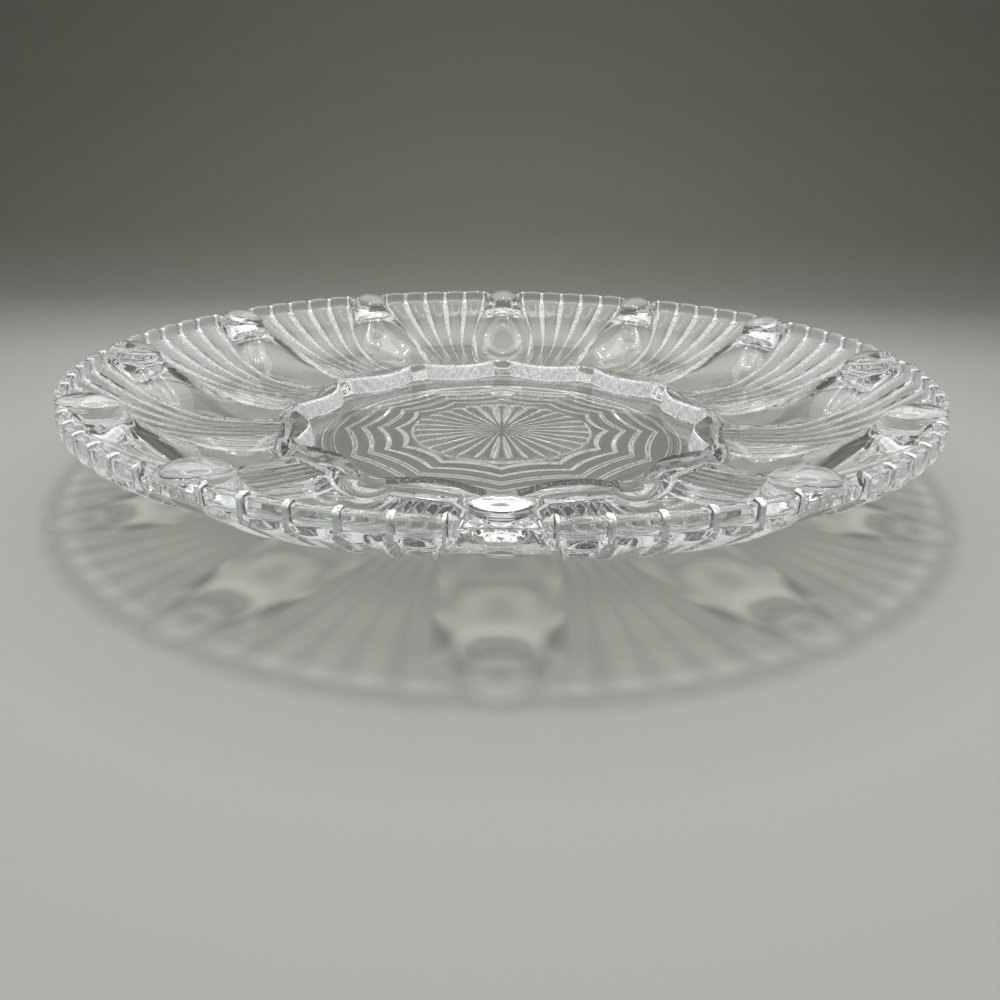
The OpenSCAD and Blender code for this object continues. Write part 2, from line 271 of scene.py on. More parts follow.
# Top of the floor
add(INNER_R, FLOOR_H, tag="top_centre")
for r in FLOOR_ROW_R:
    add(r, FLOOR_H)
add(SUNBURST_R, FLOOR_H, tag="top_sunburst")
add((SUNBURST_R + step_r["step_1"]) / 2, FLOOR_H)
add(step_r["step_1"], FLOOR_H, tag="top_step_1")
add(step_r["step_2"], FLOOR_H, tag="top_step_2")
add(step_r["step_3"], FLOOR_H, tag="top_step_3")
for t in (0.35, 0.7, 0.92):
    add(step_r["step_3"] * (1 - t) + wall_foot * t, FLOOR_H)
add(wall_foot, FLOOR_H, tag="top_wall")

# The wall's inner face, with faint ripples, and its rounded crest
RIPPLES, RIPPLE_H, RIPPLE_PHASE, RIPPLE_SLANT = 14, 0.11, 6.283, 1.2
LEAST_ROUND, MOST_ROUND = 50, 190
NUB_EASE = 1.5
ripple_seed = np.random.default_rng(7)
ripple_waves = []
for q in range(RIPPLES):
    times_round = int(ripple_seed.integers(LEAST_ROUND, MOST_ROUND))
    phase = ripple_seed.uniform(0, RIPPLE_PHASE)
    ripple_waves.append((times_round, phase, ripple_seed.uniform(-RIPPLE_SLANT, RIPPLE_SLANT)))


def ripple(z):
    a = np.radians(flat)
    total = sum(np.sin(f * a + p + g * z) for f, p, g in ripple_waves)
    return RIPPLE_H * total / math.sqrt(len(ripple_waves))


off_nub = smoothstep((from_nub - NUB_ANGLE) / NUB_EASE)
for degrees in (30, 60, 90):
    a = math.radians(degrees)
    add(wall_in - FOOT_FILLET * (1 - math.sin(a)), FLOOR_H + FOOT_FILLET * (1 - math.cos(a)))
face_low, face_high = FLOOR_H + FOOT_FILLET, CREST_H - CREST_ROUND
for t in (0.17, 0.33, 0.5, 0.67, 0.83, 1.0):
    z = face_low + (face_high - face_low) * t
    add(wall_in + WALL_LEAN * t + ripple(z) * 4 * t * (1 - t) * off_nub, z)
for degrees in (22.5, 45, 67.5, 90):
    a = math.radians(degrees)
    add(wall_in + WALL_LEAN + CREST_ROUND * (1 - math.cos(a)), face_high + CREST_ROUND * math.sin(a))
crest_in = wall_in + WALL_LEAN + CREST_ROUND
for t in (0.3, 0.6, 0.85):
    add(crest_in + (RING_R - crest_in) * t, CREST_H + (RING_H - CREST_H) * smoothstep(t))

# Top of the wells and fans
EDGE_R, PATCH_R, SCALLOP_R = 123.4, 110.2, 117.0
SLOPE_R = [
    RING_R, 72.5, 73.1, 73.8, 74.6, 75.5, 76.5, 77.6, 78.8, 80.1, 81.5, 83, 84.6, 86.3, 88.1, 90,
    92, 94, 96, 98, 100, 101.6, 103.2, 104.8, 106.4, 107.8, 109, PATCH_R, 111.6, 113, 114.6, 116.2,
    117.8, 119.4, 120.8, 122, 122.8, EDGE_R]


def scalloped(r):
    """How much of the rim's scallop shows at radius r."""
    return smoothstep((r - SCALLOP_R) / (RIM_R - SCALLOP_R))


def add_top(r, tag=None):
    share = scalloped(r)
    add(r + SCALLOP_OUT * lobe(r) * share, well_top(r) + SCALLOP_RISE * lobe(r) * share, r, tag)


for r in SLOPE_R:
    add_top(r, {RING_R: "ring_top", PATCH_R: "patch_in", EDGE_R: "edge_top"}.get(r))

# Round the rim: up the lip's inner face, over its rounded top, down the band and under it
UNDER_EDGE_R = 126.0
LIP_W, LIP_ROUND, EDGE_FOOT = 2.1, 0.85, 0.9
LIP_TURN, LIP_START = 0.4, 1.2
ARC = (0, 0.25, 0.5, 0.75, 1.0)
rim_lobe = lobe(RIM_R)
out_r = RIM_R + SCALLOP_OUT * rim_lobe - np.where(in_well, BEAD_RECESS * BOX, 0.0)
in_r = EDGE_R + SCALLOP_OUT * lobe(EDGE_R) * scalloped(EDGE_R)
z_in = rows[-1][:, 2]
dipped = np.where(in_well, RIM_DIP * BOX, JOINT_DIP * (1 - rim_lobe) ** 2)
z_top = RIM_H + SCALLOP_RISE * rim_lobe - dipped
z_low = well_under(RIM_R)
z_under = well_under(UNDER_EDGE_R)
under_r = np.full(COLS, UNDER_EDGE_R)
lip_r = out_r - LIP_W


def edge(r, z, tag=None):
    add(r, z, RIM_R, tag)


for t in (0.33, 0.67, 1.0):
    edge(bend(in_r, lip_r, lip_r, t), bend(z_in, z_in + LIP_TURN, z_in + LIP_START, t))
edge(lip_r, (z_in + LIP_START + z_top - LIP_ROUND) / 2)
for t in ARC:
    r = bend(lip_r, lip_r, lip_r + LIP_ROUND, t)
    edge(r, bend(z_top - LIP_ROUND, z_top, z_top, t), "lip_top" if t == 0.5 else None)
for t in ARC:
    edge(bend(out_r - LIP_ROUND, out_r, out_r, t), bend(z_top, z_top, z_top - LIP_ROUND, t))
for t in (0.33, 0.67):
    z_band = z_top - LIP_ROUND + (z_low + EDGE_FOOT - z_top + LIP_ROUND) * t
    edge(out_r, z_band, "patch_out" if t == 0.33 else None)
for t in ARC:
    z = bend(z_low + EDGE_FOOT, z_low, z_under, t)
    edge(bend(out_r, out_r, under_r, t), z, "band_low" if t == 0.5 else None)

# Underside of the fans and wells, back to the ring
for r in reversed(SLOPE_R):
    add(r, well_under(r), tag={RING_R: "ring_under", EDGE_R: "edge_under"}.get(r))

# Underside of the wall
for t in (0.1, 0.2, 0.3, 0.4, 0.5, 0.7):
    add(RING_R + (wall_foot - RING_R) * t, RING_UNDER_H + (UNDER_H - RING_UNDER_H) * smoothstep(t / 0.5))
add(wall_foot, UNDER_H, tag="under_wall")

# The foot ring, which stands on the table
FOOT_HALF = FOOT_W / 2
FOOT_WIDE = FOOT_HALF + FOOT_FLARE
FOOT_MARGIN, FOOT_CREASE = 0.7, 0.06
FOOT_SIDE = [
    (FOOT_WIDE - 0.35, 1.3), (FOOT_HALF + 0.12, 0.45),
    (FOOT_HALF - 0.05, 0.14), (FOOT_HALF - 0.35, 0)]
add(FOOT_R + FOOT_WIDE + FOOT_MARGIN, UNDER_H)
add(FOOT_R + FOOT_WIDE, UNDER_H - FOOT_CREASE, tag="foot_out")
for offset, z in FOOT_SIDE:
    add(FOOT_R + offset, z)
for offset, z in reversed(FOOT_SIDE):
    add(FOOT_R - offset, z)
add(FOOT_R - FOOT_WIDE, UNDER_H - FOOT_CREASE, tag="foot_in")
add(FOOT_R - FOOT_WIDE - FOOT_MARGIN, UNDER_H)

# The scalloped steps under the floor, each a sloping riser between two levels
RISER = 0.75
RISER_ROWS = (1.1, 0.85, 0.65, 0.3, 0, -0.3, -0.65, -0.85, -1.1)
LEVELS = {"step_3": (0, 1), "step_2": (1, 2), "step_1": (2, 1), "medallion": (1, 2)}
for name, (outer, inner) in LEVELS.items():
    for offset in RISER_ROWS:
        share = 0.5 - 0.5 * np.clip(offset / RISER, -1, 1)
        z = UNDER_H + STEP_RISE * (outer + (inner - outer) * share)
        add(step_r[name] + offset, z, tag="under_" + name if offset == 0 else None)

# The sunburst: hollow rays between sharp radial ridges, with round outer ends
ray = 2 * ((flat / (360 / RAYS)) % 1.0) - 1
RAY_END_R, RAY_END, RAY_FADE_R, BORDER_R, BORDER_W = 26.2, 3.8, 22.0, 29.4, 1.0
RAY_ROW_R = (
    30.0, 29.7, 29.4, 29, 28.5, 28, 27.5, 27, 26.4, 25.6, 24.5, 23, 21, 19, 17, 15, 13, 11, 9.5, INNER_R)
GROOVE_H = UNDER_H + 2 * STEP_RISE


def ray_depth(r):
    return RAY_DEPTH * smoothstep(r / RAY_FADE_R)


def ray_height(r):
    depth = ray_depth(r)
    end = np.clip((r - RAY_END_R) / RAY_END, 0, 1)
    hollow = np.clip(1 - ray ** 2 - end ** 2, 0, 1)
    border = smoothstep((r - BORDER_R) / BORDER_W)
    return (GROOVE_H - depth * (1 - hollow)) * (1 - border) + GROOVE_H * border


add(SUNBURST_R, GROOVE_H, tag="under_sunburst")
for r in RAY_ROW_R:
    add(r, ray_height(r), tag="under_centre" if r == INNER_R else None)

skin = np.stack(rows)


def index(row, col):
    return row * COLS + np.asarray(col) % COLS


# Small swellings of the rim: pips where two flutes meet, and five beads on the band under each pearl
PIP_H, PIP_W, PIP_REACH, PIP_TOP_TILT, PIP_LOW_TILT = 0.75, 0.7, 9, 0.8, -0.5
BEAD_H, BEAD_W, BEAD_REACH, BEAD_COLS = 0.5, 0.5, 6, (-11, -6, 0, 6, 11)
RIM_ROWS, ON_SEAM = 3, 1 - 1e-6
first, last = tags["edge_top"] - RIM_ROWS, tags["edge_under"] + RIM_ROWS
region = skin[first:last]
push = np.zeros_like(region)


def swell(row, col, reach, height, width, tilt):
    """Pushes the skin round one of its points: outwards, or inwards where the tilt is upwards."""
    near = np.arange(col - reach, col + reach + 1) % COLS
    centre = skin[row, col % COLS]
    d2 = ((region[:, near] - centre) ** 2).sum(2)
    out = np.array([centre[0], centre[1], 0]) / math.hypot(centre[0], centre[1])
    out = out * math.sqrt(1 - tilt * tilt) * (-1 if tilt > 0 else 1) + np.array([0, 0, tilt])
    push[:, near] += height * np.exp(-d2 / (2 * width ** 2))[..., None] * out


for col in np.flatnonzero((~in_well & (step_in == 0)) | (in_well & (np.abs(col_c) > ON_SEAM))):
    swell(tags["lip_top"], col, PIP_REACH, PIP_H, PIP_W, PIP_TOP_TILT)
    swell(tags["band_low"], col, PIP_REACH, PIP_H, PIP_W, PIP_LOW_TILT)
for sector in range(COUNT):
    for offset in BEAD_COLS:
        col = sector * SECTOR + WELL_STEPS // 2 + offset
        swell(tags["patch_out"] + 1, col, BEAD_REACH, BEAD_H, BEAD_W, 0)
skin[first:last] = region + push

points = [skin.reshape(-1, 3)]
point_count = [len(points[0])]


def more(p):
    """Adds points that lie on no row, and returns their numbers."""
    start = point_count[0]
    points.append(np.asarray(p, float).reshape(-1, 3))
    point_count[0] += len(points[-1])
    return np.arange(start, point_count[0])


# Pieces: smooth glass, rough glass with painted highlight, and the faces where they join their neighbours
pieces = {}
everywhere = np.arange(COLS)


def piece(name):
    return pieces.setdefault(name, {"glass": [], "groove": [], "joint": []})


def strip(a, b, columns=everywhere, closed=True):
    """Quads between two rows of the skin."""
    c = np.asarray(columns)
    n = np.roll(c, -1) if closed else c[1:]
    c = c if closed else c[:-1]
    return np.stack([index(a, c), index(b, c), index(b, n), index(a, n)], 1).tolist()


def share_out(made, quads, rough_painted):
    """Gives the quads to the piece, each as rough glass with painted highlight or as smooth glass."""
    made["groove"] += [quad for quad, is_rough_painted in zip(quads, rough_painted) if is_rough_painted]
    made["glass"] += [quad for quad, is_rough_painted in zip(quads, rough_painted) if not is_rough_painted]


def ring_piece(name, top_in, top_out, under_out, under_in, rough_painted_rows, leave=()):
    """A closed ring between two seams, less the rows that are left to the foot."""
    made = piece(name)
    for row in [*range(tags[top_in], tags[top_out]), *range(tags[under_out], tags[under_in])]:
        if leave and tags[leave[0]] <= row < tags[leave[1]]:
            continue
        on_face = from_nub >= NUB_ANGLE if name == "centre_wall" else np.ones(COLS, bool)
        share_out(made, strip(row, row + 1), on_face & (row in rough_painted_rows))
    if leave:
        made["joint"] += strip(tags[leave[0]], tags[leave[1]])
    made["joint"] += strip(tags[top_out], tags[under_out])
    made["joint"] += strip(tags[under_in], tags[top_in])


# Rows, counted from a tag, that lie on the risers and on the wall's face, and carry painted highlight
RISER_FACE, MEDALLION_FACE, WALL_FACE = (-3, -2, 1, 2), (-1, 0), range(2, 11)
riser_rows = [tags["under_" + name] + q for name in LEVELS for q in RISER_FACE]
riser_rows += [tags["under_medallion"] + q for q in MEDALLION_FACE]
wall_rows = [tags["top_wall"] + q for q in WALL_FACE]
ring_piece("medallion_border", "top_sunburst", "top_step_1", "under_step_1", "under_sunburst", riser_rows)
ring_piece("floor_step_inner", "top_step_1", "top_step_2", "under_step_2", "under_step_1", riser_rows)
ring_piece("floor_step_middle", "top_step_2", "top_step_3", "under_step_3", "under_step_2", riser_rows)
ring_piece(
    "floor_step_outer", "top_step_3", "top_wall", "under_wall", "under_step_3", riser_rows,
    leave=("foot_out", "foot_in"))
ring_piece("centre_wall", "top_wall", "ring_top", "ring_under", "under_wall", wall_rows)

foot = piece("foot_ring")
for row in range(tags["foot_out"], tags["foot_in"]):
    foot["glass"] += strip(row, row + 1)
foot["joint"] += strip(tags["foot_in"], tags["foot_out"])

# The medallion closes at the centre with fewer, wider faces
sunburst = piece("sunburst_medallion")
for row in range(tags["top_centre"], tags["top_sunburst"]):
    sunburst["glass"] += strip(row, row + 1)
for row in range(tags["under_sunburst"], tags["under_centre"]):
    sunburst["glass"] += strip(row, row + 1)
sunburst["joint"] += strip(tags["top_sunburst"], tags["under_sunburst"])
THIN, THIN_R = 8, 6.8
for row, up in ((tags["top_centre"], True), (tags["under_centre"], False)):
    chosen = everywhere[::THIN]
    near = skin[row, chosen].copy()
    near[:, :2] *= THIN_R / INNER_R
    if not up:
        near[:, 2] = GROOVE_H - ray_depth(THIN_R) * np.clip(ray[chosen] ** 2, 0, 1)
    ids = more(near)
    centre = more([[0, 0, FLOOR_H if up else GROOVE_H]])[0]
    faces = []
    for i in range(len(ids)):
        a, b = ids[i], ids[(i + 1) % len(ids)]
        fine = index(row, np.arange(i * THIN, (i + 1) * THIN + 1))
        mid = THIN // 2
        faces += [[a, fine[q], fine[q + 1]] for q in range(mid)]
        faces += [[b, fine[q], fine[q + 1]] for q in range(mid, THIN)]
        faces += [[a, fine[mid], b], [centre, a, b]]
    sunburst["glass"] += faces if up else [f[::-1] for f in faces]

# Pearls: an oval patch of the well's upper surface rises to a domed lens
PEARL_R, PEARL_LONG, PEARL_WIDE = 119.25, 7.6, 6.5
PEARL_H, PEARL_TILT, DOME_H, LENS_LOW = 30.2, 0.16, 3.0, 0.8
BASE_H, BASE_OUT_H, BASE_RISE, BASE_TURN, BASE_TURN_OVER = 27.2, 31.0, 1.0, 0.2, 0.35
SKIRT, SKIRT_UP, UNDER_LENS, LENS = 1.14, 0.72, 0.985, 0.97
LENS_EDGE = ((0.5, 0.98), (1.0, LENS))
DOME_DEGREES = (9, 19, 30, 41, 52, 63, 73, 82)
PATCH_C = 4
MOST_R = RIM_R + 0.1


def oval(phi, scale):
    """The pearl's outline, kept inside the rim."""
    x, y = PEARL_R + PEARL_LONG * scale * np.cos(phi), PEARL_WIDE * scale * np.sin(phi)
    shrink = np.minimum(1, MOST_R / np.hypot(x, y))
    return x * shrink, y * shrink


def turned(x, y, z, a):
    """Points turned about the plate's axis."""
    z = np.broadcast_to(z, np.shape(x))
    return np.stack([x * math.cos(a) - y * math.sin(a), x * math.sin(a) + y * math.cos(a), z], -1)


def patch_loop(sector):
    """The skin's points round the pearl's patch, and each one's direction from the pearl's middle."""
    j1, j2 = sector * SECTOR + PATCH_C, sector * SECTOR + WELL_STEPS - PATCH_C
    r1, r2 = tags["patch_in"], tags["patch_out"]
    sides = [
        [(r1, j) for j in range(j1, j2)], [(r, j2) for r in range(r1, r2)],
        [(r2, j) for j in range(j2, j1, -1)], [(r, j1) for r in range(r2, r1, -1)]]
    corners = []
    for side in sides:
        x, y, _ = turned(*skin[side[0][0], side[0][1] % COLS], -math.radians(sector * PITCH))
        corners.append(math.atan2(y / PEARL_WIDE, (x - PEARL_R) / PEARL_LONG))
    loop, phi = [], []
    for s, side in enumerate(sides):
        start, end = corners[s], corners[(s + 1) % 4]
        turn = (start - end) % (2 * math.pi)
        path = [skin[r, j % COLS] for r, j in side + [sides[(s + 1) % 4][0]]]
        length = np.concatenate([[0], np.cumsum(np.linalg.norm(np.diff(path, axis=0), axis=1))])
        for (r, j), share in zip(side, length / length[-1]):
            loop.append(index(r, j))
            phi.append(start - turn * share)
    return np.array(loop), np.array(phi)


def build_pearl(sector):
    """Cuts the patch from the well and returns its glass faces, the lens's, and the loop that parts them."""
    a = math.radians(sector * PITCH)
    loop, phi = patch_loop(sector)
    edge_x, edge_y, edge_z = turned(*points[0][loop].T, -a).T
    slant = PEARL_TILT * PEARL_LONG * np.cos(phi)
    lens_foot = PEARL_H + slant - LENS_LOW
    base = BASE_H + (BASE_OUT_H - BASE_H) * smoothstep((np.cos(phi) - BASE_TURN) / BASE_TURN_OVER)
    rings = [loop]

    def ring(x, y, z):
        rings.append(more(turned(x, y, z, a)))

    x0, y0 = oval(phi, SKIRT)
    z0 = edge_z + (base - edge_z) * SKIRT_UP
    for t in (0.35, 0.7):
        ring(edge_x + (x0 - edge_x) * t, edge_y + (y0 - edge_y) * t, edge_z + (z0 - edge_z) * t)
    x1, y1 = oval(phi, 1.0)
    for t in ARC:
        ring(bend(x0, x1, x1, t), bend(y0, y1, y1, t), bend(z0, base, base + BASE_RISE, t))
    x2, y2 = oval(phi, UNDER_LENS)
    ring((x1 + x2) / 2, (y1 + y2) / 2, (base + BASE_RISE + lens_foot) / 2)
    ring(x2, y2, lens_foot)
    parting = len(rings) - 1
    for t, scale in LENS_EDGE:
        ring(*oval(phi, scale), lens_foot + LENS_LOW * t)
    for degrees in DOME_DEGREES:
        b = math.radians(degrees)
        ring(*oval(phi, LENS * math.cos(b)), PEARL_H + slant * math.cos(b) + DOME_H * math.sin(b))
    apex = more(turned(PEARL_R, 0.0, PEARL_H + DOME_H, a))[0]
    below, above = [], []
    for q in range(len(rings) - 1):
        out, inn = rings[q], rings[q + 1]
        quads = np.stack([out, np.roll(out, -1), np.roll(inn, -1), inn], 1)[:, ::-1].tolist()
        (below if q < parting else above).extend(quads)
    above += np.stack([rings[-1], np.roll(rings[-1], -1), np.full(len(loop), apex)], 1)[:, ::-1].tolist()
    return below, above, rings[parting].tolist()


def section_walls(made, col, flip):
    """Closes a well or fan at one edge, where it joins its neighbour."""
    top0, top1 = tags["ring_top"], tags["edge_top"]
    under0, under1 = tags["ring_under"], tags["edge_under"]
    walls = [(top0 + q, top0 + q + 1, under0 - q - 1, under0 - q) for q in range(top1 - top0)]
    for wall in [*walls, range(top1, under1 + 1)]:
        face = [index(row, col) for row in wall]
        made["joint"].append(face[::-1] if flip else face)


# Rough glass with painted highlight: the grooves under the fans, a mark in each over the rim, and each
# well's borders
BORDER_COLS, MARK_STEPS = 2, 1
for sector in range(COUNT):
    start = sector * SECTOR
    number = f"{sector + 1:02d}"
    well, fan, pearl = [piece(kind + number) for kind in ("egg_well_", "fluted_fan_", "rim_pearl_")]
    well_cols = np.arange(start, start + WELL_STEPS + 1)
    fan_cols = np.arange(start + WELL_STEPS, start + SECTOR + 1)
    well_q = np.arange(WELL_STEPS)
    borders = (well_q < BORDER_COLS) | (well_q >= WELL_STEPS - BORDER_COLS)
    near = step_near[fan_cols % COLS]
    near = np.maximum(near[:-1], near[1:])
    for row in range(tags["ring_top"], tags["ring_under"]):
        if tags["patch_in"] <= row < tags["patch_out"]:
            well["glass"] += strip(row, row + 1, well_cols[:PATCH_C + 1], False)
            well["glass"] += strip(row, row + 1, well_cols[WELL_STEPS - PATCH_C:], False)
        else:
            share_out(well, strip(row, row + 1, well_cols, False), borders & (row >= tags["edge_under"]))
        wide = GROOVE_STEPS if row > tags["band_low"] else MARK_STEPS
        share_out(fan, strip(row, row + 1, fan_cols, False), (near <= wide) & (row >= tags["edge_top"]))
    for made, cols in ((well, well_cols), (fan, fan_cols)):
        made["joint"] += strip(tags["ring_under"], tags["ring_top"], cols, False)
        section_walls(made, cols[0], False)
        section_walls(made, cols[-1], True)
    below, above, parting = build_pearl(sector)
    well["glass"] += below
    pearl["glass"] += above
    well["joint"].append(parting[::-1])
    pearl["joint"].append(parting)

points = np.concatenate(points)

# Normals over the whole skin, so that seams between pieces don't show
normals = np.zeros_like(points)
for made in pieces.values():
    for corners, (a, b, c, d) in ((3, (0, 1, 0, 2)), (4, (0, 2, 1, 3))):
        faces = np.array([f for f in made["glass"] + made["groove"] if len(f) == corners])
        if len(faces):
            p = points[faces]
            n = np.cross(p[:, b] - p[:, a], p[:, d] - p[:, c])
            for q in range(corners):
                np.add.at(normals, faces[:, q], n)
normals /= np.maximum(np.linalg.norm(normals, axis=1, keepdims=True), 1e-12)


# Materials
def new_material(name):
    material = bpy.data.materials.new(name)
    material.use_nodes = True
    tree = material.node_tree
    for node in list(tree.nodes):
        tree.nodes.remove(node)
    return material, tree, tree.nodes.new("ShaderNodeOutputMaterial")


def new_node(tree, kind, values=(), links=(), operation=None):
    """A node of that kind, with numbers set on its sockets and other nodes' outputs linked to them."""
    node = tree.nodes.new("ShaderNode" + kind)
    if operation:
        node.operation = operation
    for socket, value in dict(values).items():
        node.inputs[socket].default_value = value
    for socket, output in dict(links).items():
        tree.links.new(output, node.inputs[socket])
    return node


def set_ramp(node, stops, blue, end):
    """Sets a colour ramp's stops, given as place and grey, and the colour of its end."""
    ramp = node.color_ramp
    for spot, grey in stops:
        stop = ramp.elements[0] if spot == 0 else ramp.elements.new(spot)
        stop.position = spot
        stop.color = (grey, grey, grey * blue, 1)
    ramp.elements[-1].color = (*end, 1)


GLASS, INDEX, PAINTED_HIGHLIGHT_WHITE = (0.955, 0.975, 0.965, 1), 1.52, (0.985, 0.99, 0.985, 1)
WAVE_DETAIL, WAVE_ROUGHNESS, GRAIN_SCALE, GRAIN_DETAIL = 2, 0.45, 260, 3
LINE_SOFT, SOFT_BUMP = 0.12, 0.5
SHADOW_STOPS = [
    (0.0, 0.75), (0.04, 1.02), (0.075, 0.78), (0.11, 1.32), (0.15, 1.05), (0.2, 0.52), (0.4, 0.42)]
SHADOW_BLUE, SHADOW_END = 0.97, (0.8, 0.8, 0.78)


def paint_highlight(tree, surface, waves, raised, bump, distance, painted_highlight):
    """Lays white over the glass as a painted highlight, in place of the lamp light that clear glass refracts
    there; its diffuse face is tilted upwards to catch the overhead lamps. The wrinkles are the glass's own.
    Its contour lines follow the waves and stay clear.
    """
    many = new_node(tree, "Math", {1: painted_highlight["lines"]}, {0: waves.outputs["Fac"]}, "MULTIPLY")
    fold = new_node(tree, "Math", {1: 0.5}, {0: many.outputs["Value"]}, "PINGPONG").outputs["Value"]
    tree.links.new(fold, raised.inputs["Height"])
    width, (in_lines, between) = painted_highlight["width"], painted_highlight["white"]
    levels = {"From Min": width, "From Max": width + LINE_SOFT, "To Min": in_lines, "To Max": between}
    white = new_node(tree, "MapRange", levels, {"Value": fold})
    soft = new_node(tree, "Bump", {"Strength": SOFT_BUMP * bump, "Distance": distance}, {"Height": fold})
    faces = []
    for kind, tilt in (("BsdfDiffuse", painted_highlight["tilt"]), ("BsdfTranslucent", -painted_highlight["tilt"])):
        upward = new_node(tree, "VectorMath", {1: (0, 0, tilt)}, {0: soft.outputs["Normal"]})
        turned_up = new_node(tree, "VectorMath", (), {0: upward.outputs["Vector"]}, "NORMALIZE")
        face = new_node(tree, kind, {"Color": PAINTED_HIGHLIGHT_WHITE}, {"Normal": turned_up.outputs["Vector"]})
        faces.append(face.outputs["BSDF"])
    both = new_node(tree, "MixShader", {"Fac": painted_highlight["through"]}, {1: faces[0], 2: faces[1]})
    inputs = {"Fac": white.outputs["Result"], 1: surface, 2: both.outputs["Shader"]}
    return new_node(tree, "MixShader", (), inputs).outputs["Shader"]


def glass_material(name, bump, scale, distance, roughness, painted_highlight=None):
    """Clear pressed glass: fire-polished waves, a faint grain and, where it is wrinkled, a painted white
    highlight.
    """
    material, tree, output = new_material(name)
    place_out = new_node(tree, "TexCoord").outputs["Object"]
    values = {"Scale": scale, "Detail": WAVE_DETAIL, "Roughness": WAVE_ROUGHNESS}
    waves = new_node(tree, "TexNoise", values, {"Vector": place_out})
    raised = new_node(
        tree, "Bump", {"Strength": bump, "Distance": distance}, {"Height": waves.outputs["Fac"]})
    grain = new_node(tree, "TexNoise", {"Scale": GRAIN_SCALE, "Detail": GRAIN_DETAIL}, {"Vector": place_out})
    polish = new_node(
        tree, "MapRange", {"To Min": roughness[0], "To Max": roughness[1]}, {"Value": grain.outputs["Fac"]})
    shader = new_node(
        tree, "BsdfPrincipled", {"Base Color": GLASS, "Transmission Weight": 1, "IOR": INDEX},
        {"Normal": raised.outputs["Normal"], "Roughness": polish.outputs["Result"]})
    surface = shader.outputs["BSDF"]
    if painted_highlight:
        surface = paint_highlight(tree, surface, waves, raised, bump, distance, painted_highlight)
    # A shadow ray passes the glass, dimmed or gathered by how steeply it meets the surface
    facing = new_node(tree, "LayerWeight", {"Blend": 0.5})
    shade = new_node(tree, "ValToRGB", (), {"Fac": facing.outputs["Facing"]})
    set_ramp(shade, SHADOW_STOPS, SHADOW_BLUE, SHADOW_END)
    cast = new_node(tree, "BsdfTransparent", (), {"Color": shade.outputs["Color"]})
    path = new_node(tree, "LightPath")
    inputs = {"Fac": path.outputs["Is Shadow Ray"], 1: surface, 2: cast.outputs["BSDF"]}
    mix = new_node(tree, "MixShader", (), inputs)
    tree.links.new(mix.outputs["Shader"], output.inputs["Surface"])
    return material


def joint_material():
    """Where two pieces of the pressing meet there is no surface, so light passes straight on."""
    material, tree, output = new_material("pressing_joint")
    clear = new_node(tree, "BsdfTransparent")
    tree.links.new(clear.outputs["BSDF"], output.inputs["Surface"])
    return material


# Painted highlight on the wall's face, the grooves, the marks over the rim, the wells' borders and the
# risers: white where the clear glass would shine with refracted lamp light
WALL_PAINTED_HIGHLIGHT = {"lines": 12, "white": (0.05, 1.0), "width": 0.05, "tilt": 2.4, "through": 0.15}
GROOVE_PAINTED_HIGHLIGHT = {"lines": 4, "white": (0.35, 1.0), "width": 0.05, "tilt": 0.8, "through": 0.08}
RISER_PAINTED_HIGHLIGHT = {"lines": 3, "white": (0.3, 0.85), "width": 0.05, "tilt": 0.3, "through": 0.08}
smooth_glass = glass_material("clear_glass_polished", 0.2, 90, 0.0004, (0.0, 0.02))
wall_glass = glass_material("glass_crinkled_painted_highlight", 1.0, 130, 0.0006, (0.0, 0.06), WALL_PAINTED_HIGHLIGHT)
groove_glass = glass_material("glass_groove_painted_highlight", 1.0, 320, 0.0004, (0.03, 0.2), GROOVE_PAINTED_HIGHLIGHT)
riser_glass = glass_material("glass_riser_painted_highlight", 0.4, 320, 0.0002, (0.0, 0.05), RISER_PAINTED_HIGHLIGHT)
joint = joint_material()
ROUGH_PAINTED_KINDS = {"centre": wall_glass, "floor": riser_glass, "medallion": riser_glass}

for name, made in pieces.items():
    faces = made["glass"] + made["groove"] + made["joint"]
    sizes = np.array([len(f) for f in faces])
    corners = np.concatenate([np.asarray(f) for f in faces])
    used, local_corners = np.unique(corners, return_inverse=True)
    splits = np.split(local_corners, np.cumsum(sizes)[:-1])
    mesh = bpy.data.meshes.new(name)
    mesh.from_pydata((points[used] * MM).tolist(), [], [s.tolist() for s in splits])
    mesh.materials.append(smooth_glass)
    mesh.materials.append(joint)
    if made["groove"]:
        mesh.materials.append(ROUGH_PAINTED_KINDS.get(name.split("_")[0], groove_glass))
    slots = np.repeat([0, 2, 1], [len(made["glass"]), len(made["groove"]), len(made["joint"])])
    mesh.polygons.foreach_set("material_index", slots.astype(np.int32))
    mesh.polygons.foreach_set("use_smooth", np.ones(len(faces), bool))
    mesh.normals_split_custom_set_from_vertices(normals[used].tolist())
    mesh.update()
    ob = bpy.data.objects.new(name + "_glass", mesh)
    bpy.context.scene.collection.objects.link(ob)
    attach(ob, "root")
    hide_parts(name)

